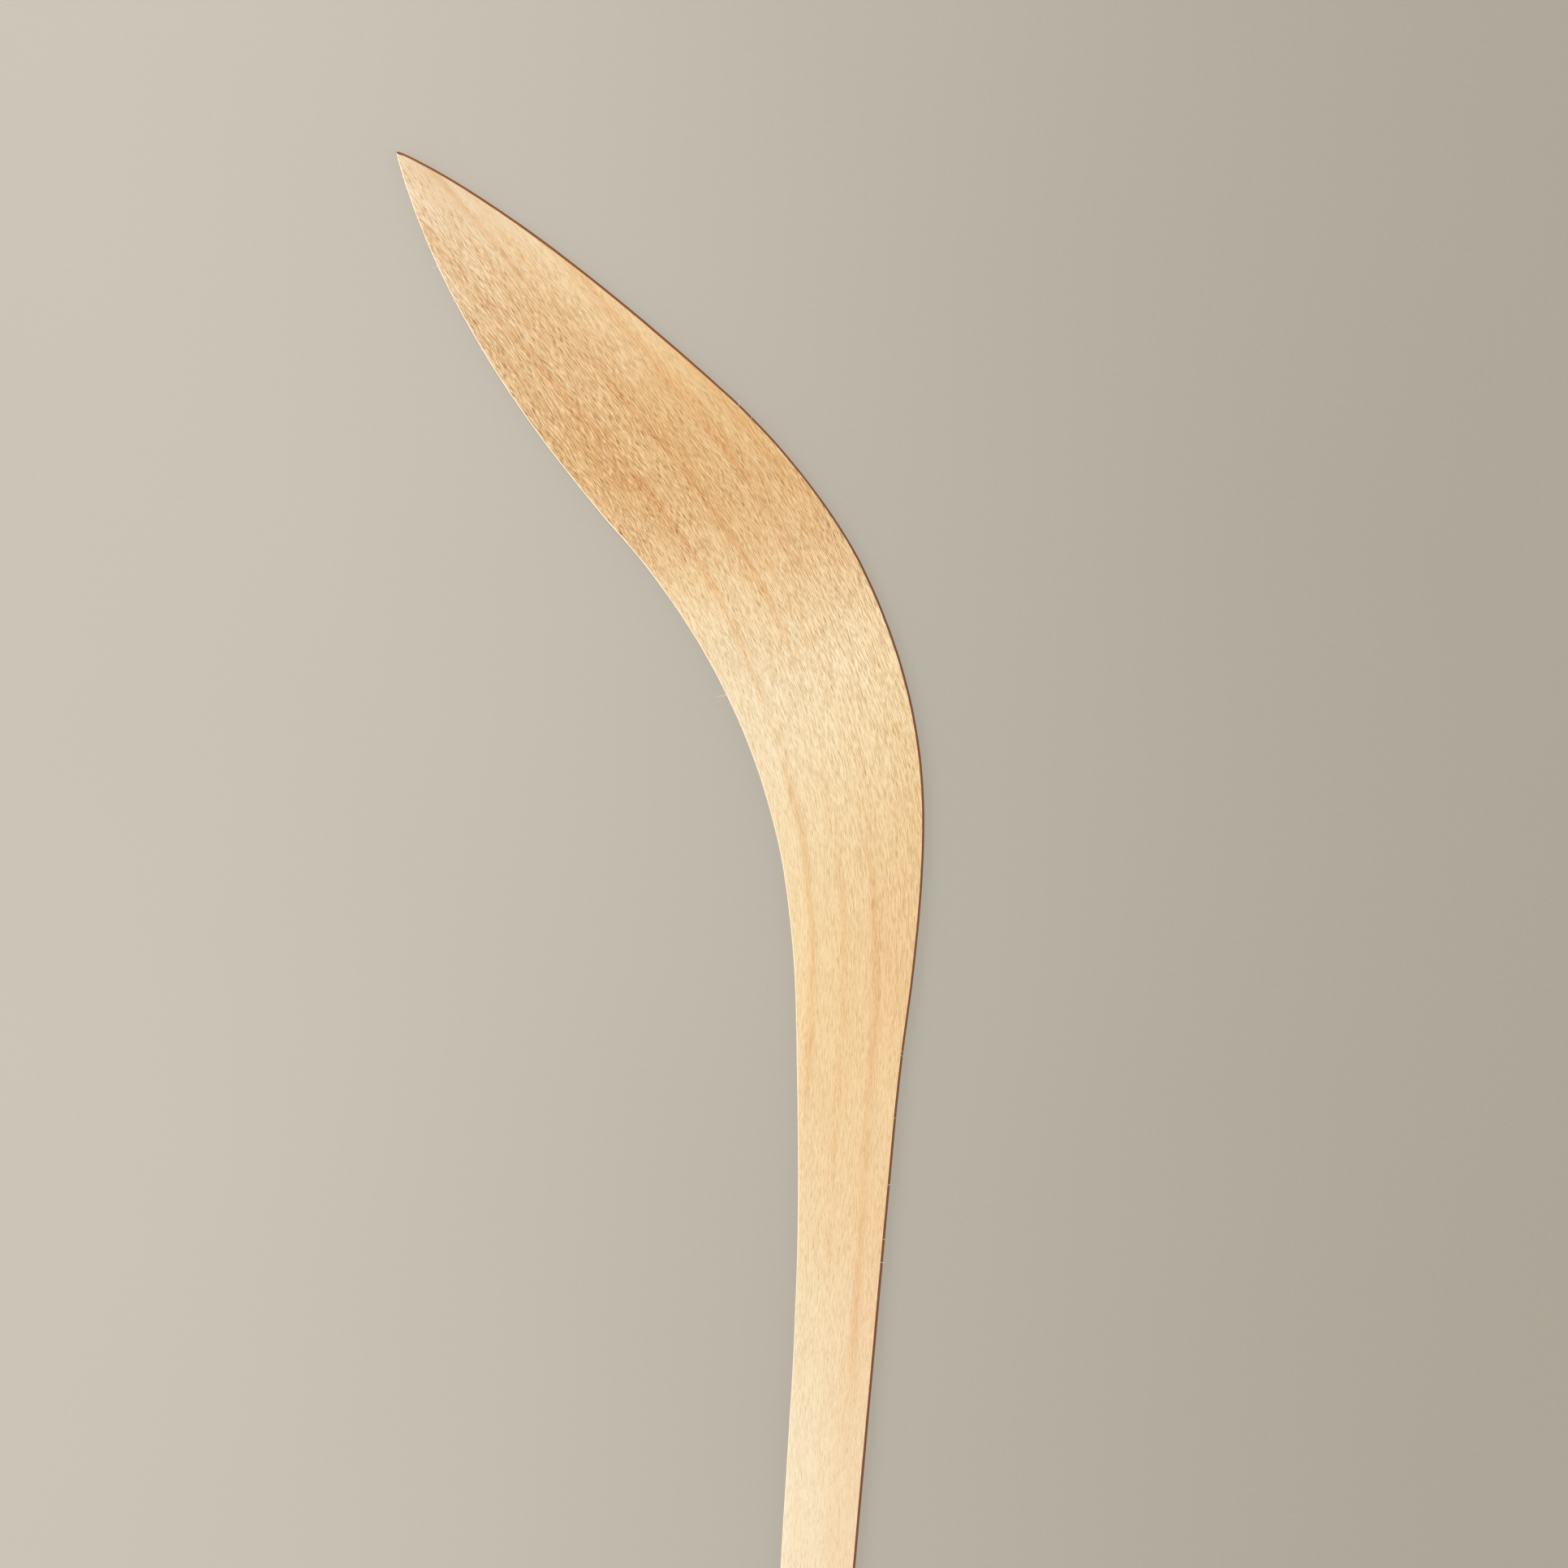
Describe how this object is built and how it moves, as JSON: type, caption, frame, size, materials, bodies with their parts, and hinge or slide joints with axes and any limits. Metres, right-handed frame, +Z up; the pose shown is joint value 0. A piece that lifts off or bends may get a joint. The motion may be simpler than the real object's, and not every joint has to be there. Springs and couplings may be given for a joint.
{
  "type": "hooked boomerang",
  "caption": "Flat hooked boomerang of beech strips bent and glued side by side, with a pointed leaf blade and a narrow straight handle.",
  "frame": {"origin": "bottom centre of the box round the whole boomerang, on the plane of its underside", "axes": "+Y along the straight handle towards the elbow, +X towards the convex outer edge, +Z up through the thickness"},
  "size_m": [0.1414, 0.4092, 0.005],
  "materials": {
    "beech": "bare sanded beech, satin"
  },
  "bodies": {
    "root": {"strip_01": "beech", "strip_02": "beech", "strip_03": "beech", "strip_04": "beech", "strip_05": "beech", "strip_06": "beech", "strip_07": "beech", "strip_08": "beech", "strip_09": "beech", "strip_10": "beech", "strip_11": "beech", "strip_12": "beech", "strip_13": "beech", "strip_14": "beech", "strip_15": "beech", "strip_16": "beech", "strip_17": "beech", "strip_18": "beech"}
  },
  "joints": []
}
